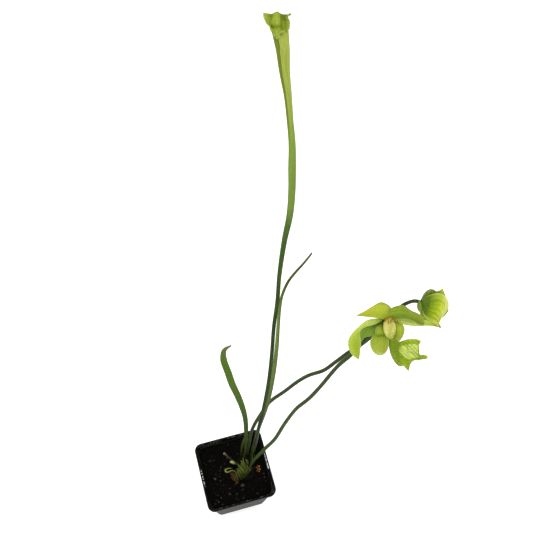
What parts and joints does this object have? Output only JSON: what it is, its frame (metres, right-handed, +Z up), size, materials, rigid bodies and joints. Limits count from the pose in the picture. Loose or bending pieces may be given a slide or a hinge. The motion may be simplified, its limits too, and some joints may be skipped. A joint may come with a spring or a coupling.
{
  "type": "potted pitcher plant",
  "caption": "Potted sarracenia: tall slender pitcher, narrow leaves and nodding pale green flowers in a square nursery pot",
  "frame": {"origin": "centre of the pot's flat base, on the surface that it stands on", "axes": "+Z up, the pot's sides lie along X and Y, -Y is the front that the view faces; the tall pitcher leans back towards +Y and the flowers reach out to +X"},
  "size_m": [0.3074, 0.3468, 0.5635],
  "materials": {
    "pot_black": "gloss",
    "peat": "matte",
    "rhizome": "satin",
    "pitcher_green": "satin",
    "leaf_green": "satin",
    "scape_green": "satin",
    "sepal_green": "satin",
    "petal_green": "satin",
    "pistil_green": "satin",
    "stamen_brown": "matte",
    "dry_leaf": "matte",
    "cut_face": "matte",
    "bark": "matte",
    "grit": "matte"
  },
  "bodies": {
    "root": {"nursery_pot": "pot_black", "peat_soil": "peat", "rhizome_crown": "rhizome", "tall_pitcher": "pitcher_green", "long_phyllode": "leaf_green", "sickle_leaf": "leaf_green", "short_leaf": "leaf_green", "scape_a": "scape_green", "scape_b": "scape_green", "young_curled_leaf": "pitcher_green", "dry_sheath": "dry_leaf", "oval_cut_stub": "cut_face", "thin_cut_stub": "dry_leaf", "rosette_leaf_left": "leaf_green", "rosette_leaf_middle": "leaf_green", "rosette_leaf_front": "leaf_green", "rosette_leaf_right": "leaf_green", "rosette_leaf_low": "leaf_green", "bark_chip": "bark", "perlite_grain_front": "grit", "perlite_grain_corner": "grit", "grit_grain_middle": "grit", "sepal_a_left": "sepal_green", "sepal_a_right": "sepal_green", "sepal_a_under_right": "sepal_green", "sepal_a_outer_left": "sepal_green", "sepal_a_inner_left": "sepal_green", "sepal_b_front": "sepal_green", "sepal_b_top": "sepal_green", "sepal_b_back": "sepal_green", "sepal_b_low": "sepal_green", "sepal_b_under": "sepal_green", "petal_a_left": "petal_green", "petal_a_right": "petal_green", "bract_a_left": "sepal_green", "bract_a_right": "sepal_green", "bract_a_low": "sepal_green", "bract_b_left": "sepal_green", "bract_b_upper": "sepal_green", "bract_b_low": "sepal_green", "pistil_a": "pistil_green", "stamens_a": "stamen_brown", "pistil_b": "pistil_green", "stamens_b": "stamen_brown"}
  },
  "joints": []
}
